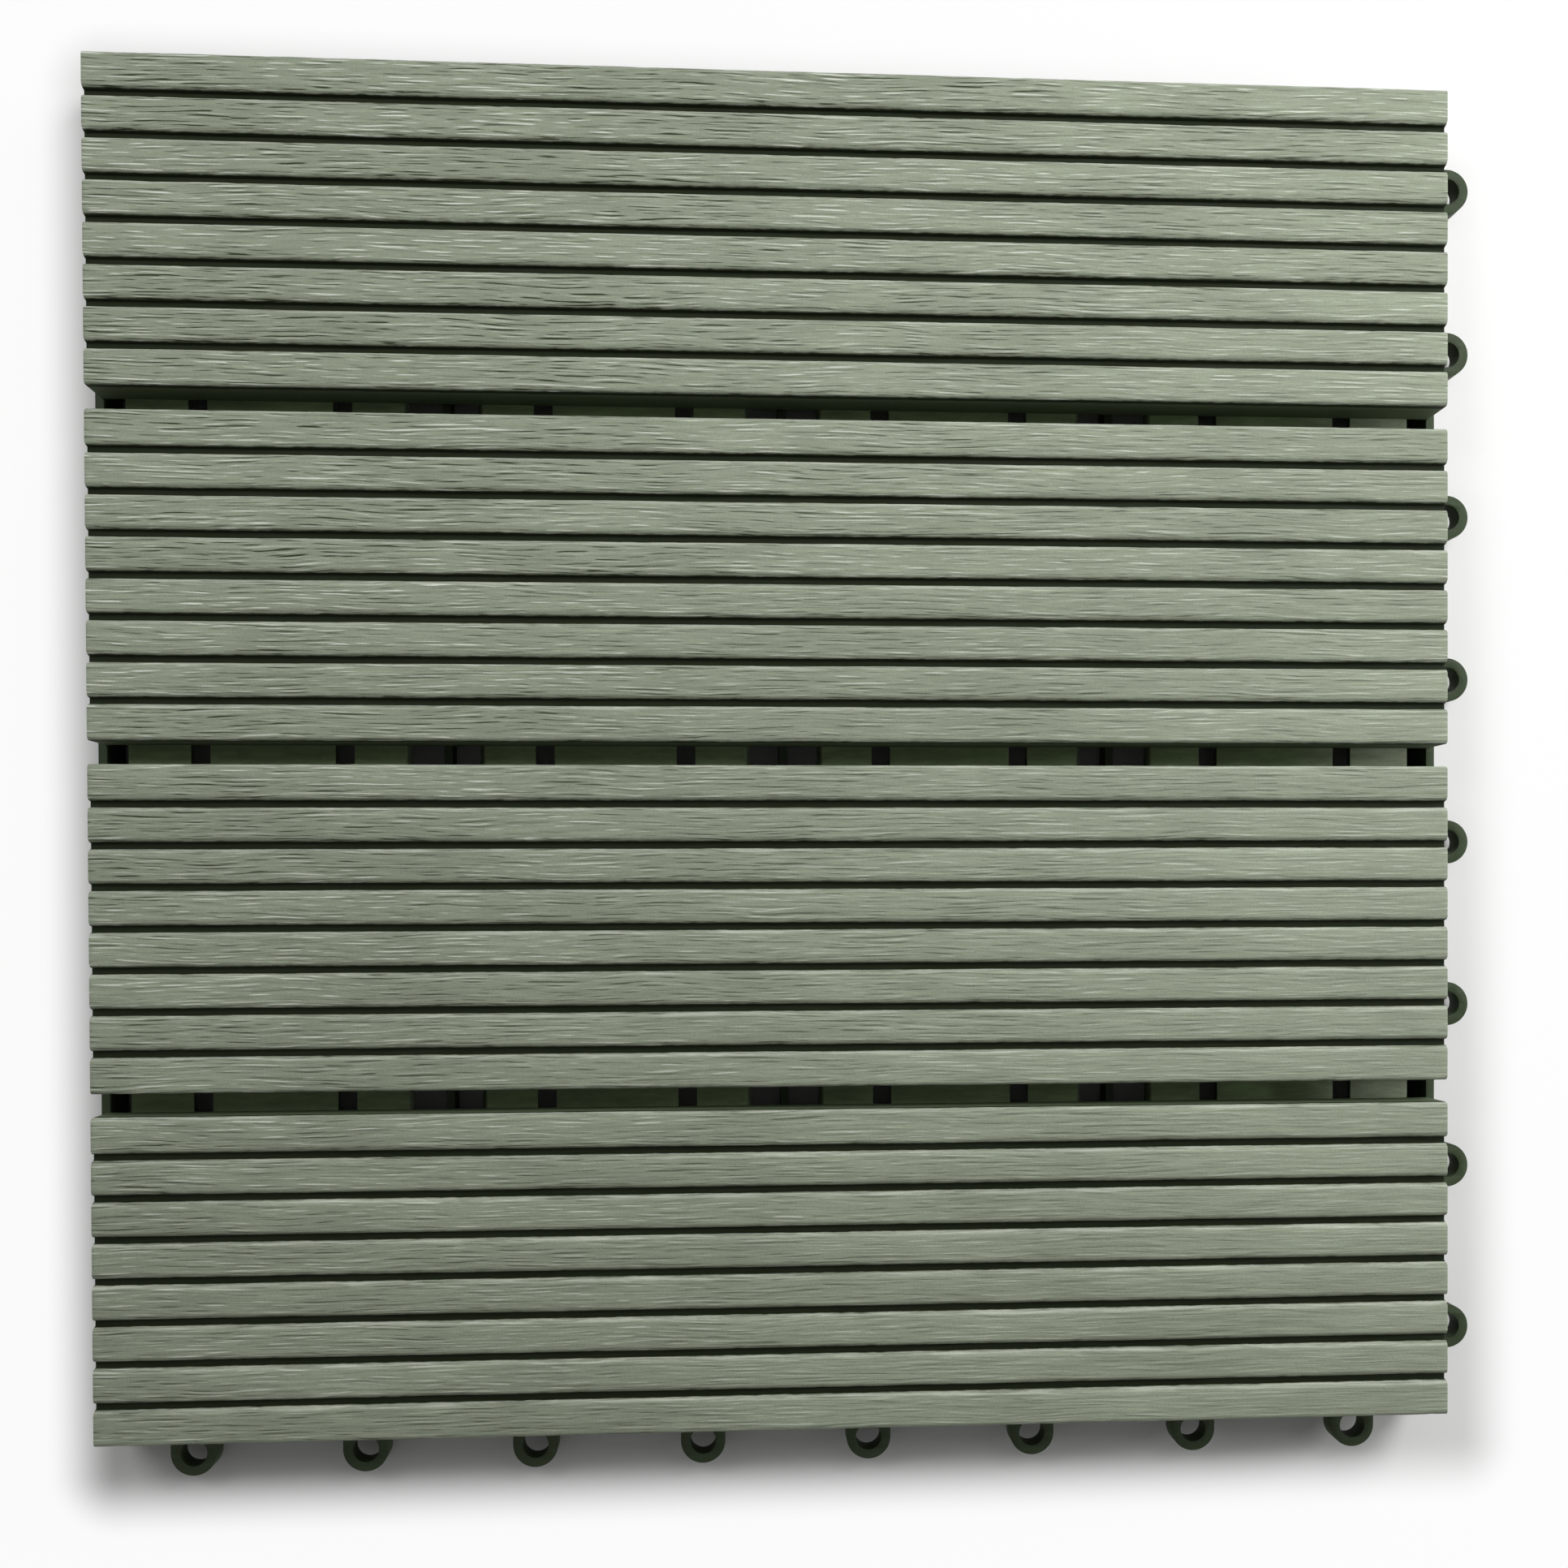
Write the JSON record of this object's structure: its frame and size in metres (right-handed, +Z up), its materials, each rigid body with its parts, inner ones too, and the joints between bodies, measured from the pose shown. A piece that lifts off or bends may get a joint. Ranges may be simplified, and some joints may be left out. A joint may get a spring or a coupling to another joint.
{
  "type": "interlocking deck tile",
  "caption": "Square snap-together deck tile: grooved composite slats screwed from below to a ribbed plastic base with snap loops on two sides and split pegs on the other two.",
  "frame": {"origin": "on the ground under the centre of the square base, loops left out", "axes": "+Z up; the slats run along X; loops stand out on +X and -Y, pegs hang under the -X and +Y edges"},
  "size_m": [0.3077, 0.3077, 0.022],
  "materials": {
    "base_plastic": "dark green-black moulded polypropylene",
    "slat_composite": "brushed grey-green wood-plastic composite",
    "screw_steel": "zinc plated steel"
  },
  "bodies": {
    "root": {"base_grid": "base_plastic", "slat_1": "slat_composite", "slat_2": "slat_composite", "slat_3": "slat_composite", "slat_4": "slat_composite", "slat_screws": "screw_steel"}
  },
  "joints": []
}
